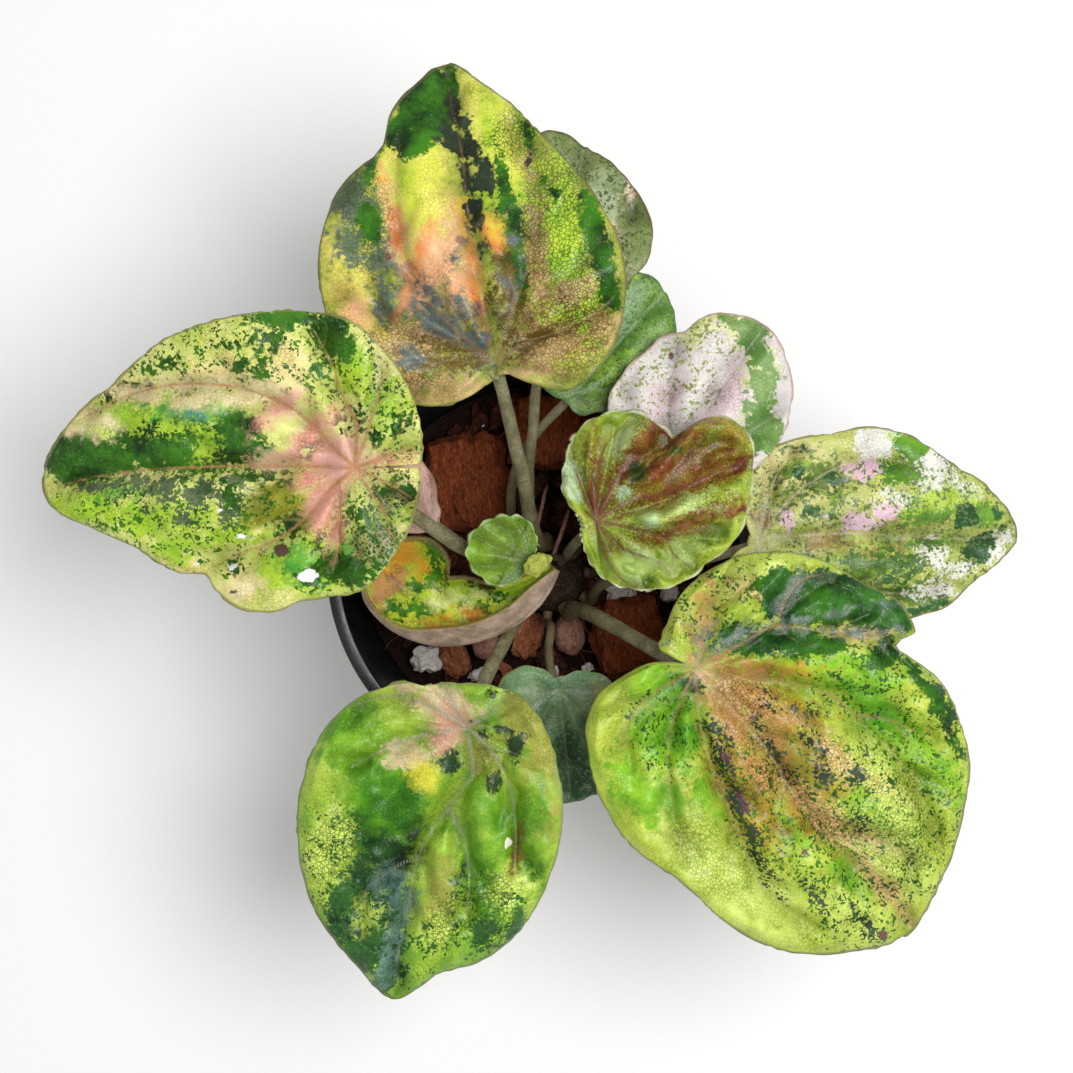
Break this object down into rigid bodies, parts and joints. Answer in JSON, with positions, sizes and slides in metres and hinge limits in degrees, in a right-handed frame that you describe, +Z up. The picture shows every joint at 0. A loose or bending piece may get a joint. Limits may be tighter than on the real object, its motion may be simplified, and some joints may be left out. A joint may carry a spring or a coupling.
{
  "type": "potted house plant",
  "caption": "Round black nursery pot with a small variegated plant: lobed, puckered blades on arching stalks over a bed of bark and coir.",
  "frame": {"origin": "centre of the pot's flat underside", "axes": "+Z up, out of the pot's mouth; +Y towards the large back leaf"},
  "size_m": [0.1989, 0.1887, 0.1224],
  "materials": {
    "pot_plastic": "matte black moulded plastic",
    "bed_mix": "loose dark bark and coir, matte",
    "coir": "fibrous rusty brown husk, matte",
    "clay": "fired clay pebble, unglazed",
    "bark": "rough bark, matte",
    "perlite": "porous off-white grain, matte",
    "crown": "rough rootstock, matte",
    "stalk": "olive, smooth, slightly glossy",
    "blade": "fleshy, puckered, soft satin, variegated cream, lime and dark green",
    "blade_white": "fleshy, soft satin, nearly white with green blotches",
    "blade_plain": "fleshy, soft satin, green",
    "blade_dark": "fleshy, soft satin, dark blue-green",
    "blade_young": "fleshy, puckered, satin, lime with red-brown veins",
    "blade_pink": "fleshy, soft satin, pinkish with green blotches"
  },
  "bodies": {
    "root": {"bark_chip_front": "bark", "bark_chip_left": "bark", "bark_chip_small": "bark", "clay_pebble_front": "clay", "clay_pebble_left": "clay", "coir_chunk_back": "coir", "coir_chunk_left": "coir", "coir_chunk_right": "coir", "crown": "crown", "leaf_back": "blade", "leaf_back_green": "blade_plain", "leaf_back_grey": "blade_plain", "leaf_bud": "blade_young", "leaf_curled": "blade", "leaf_front_left": "blade", "leaf_front_right": "blade", "leaf_front_small": "blade_dark", "leaf_left": "blade", "leaf_low_pink": "blade_pink", "leaf_new_toothed": "blade_young", "leaf_right": "blade", "leaf_white": "blade_white", "leaf_young_red": "blade_young", "perlite_far_right": "perlite", "perlite_front": "perlite", "perlite_front_left": "perlite", "perlite_front_right": "perlite", "perlite_left": "perlite", "perlite_right": "perlite", "pot": "pot_plastic", "stalk_back": "stalk", "stalk_back_green": "stalk", "stalk_back_grey": "stalk", "stalk_bud": "stalk", "stalk_curled": "stalk", "stalk_front_left": "stalk", "stalk_front_right": "stalk", "stalk_front_small": "stalk", "stalk_left": "stalk", "stalk_low_pink": "stalk", "stalk_new_toothed": "stalk", "stalk_right": "stalk", "stalk_white": "stalk", "stalk_young_red": "stalk", "substrate": "bed_mix"}
  },
  "joints": []
}
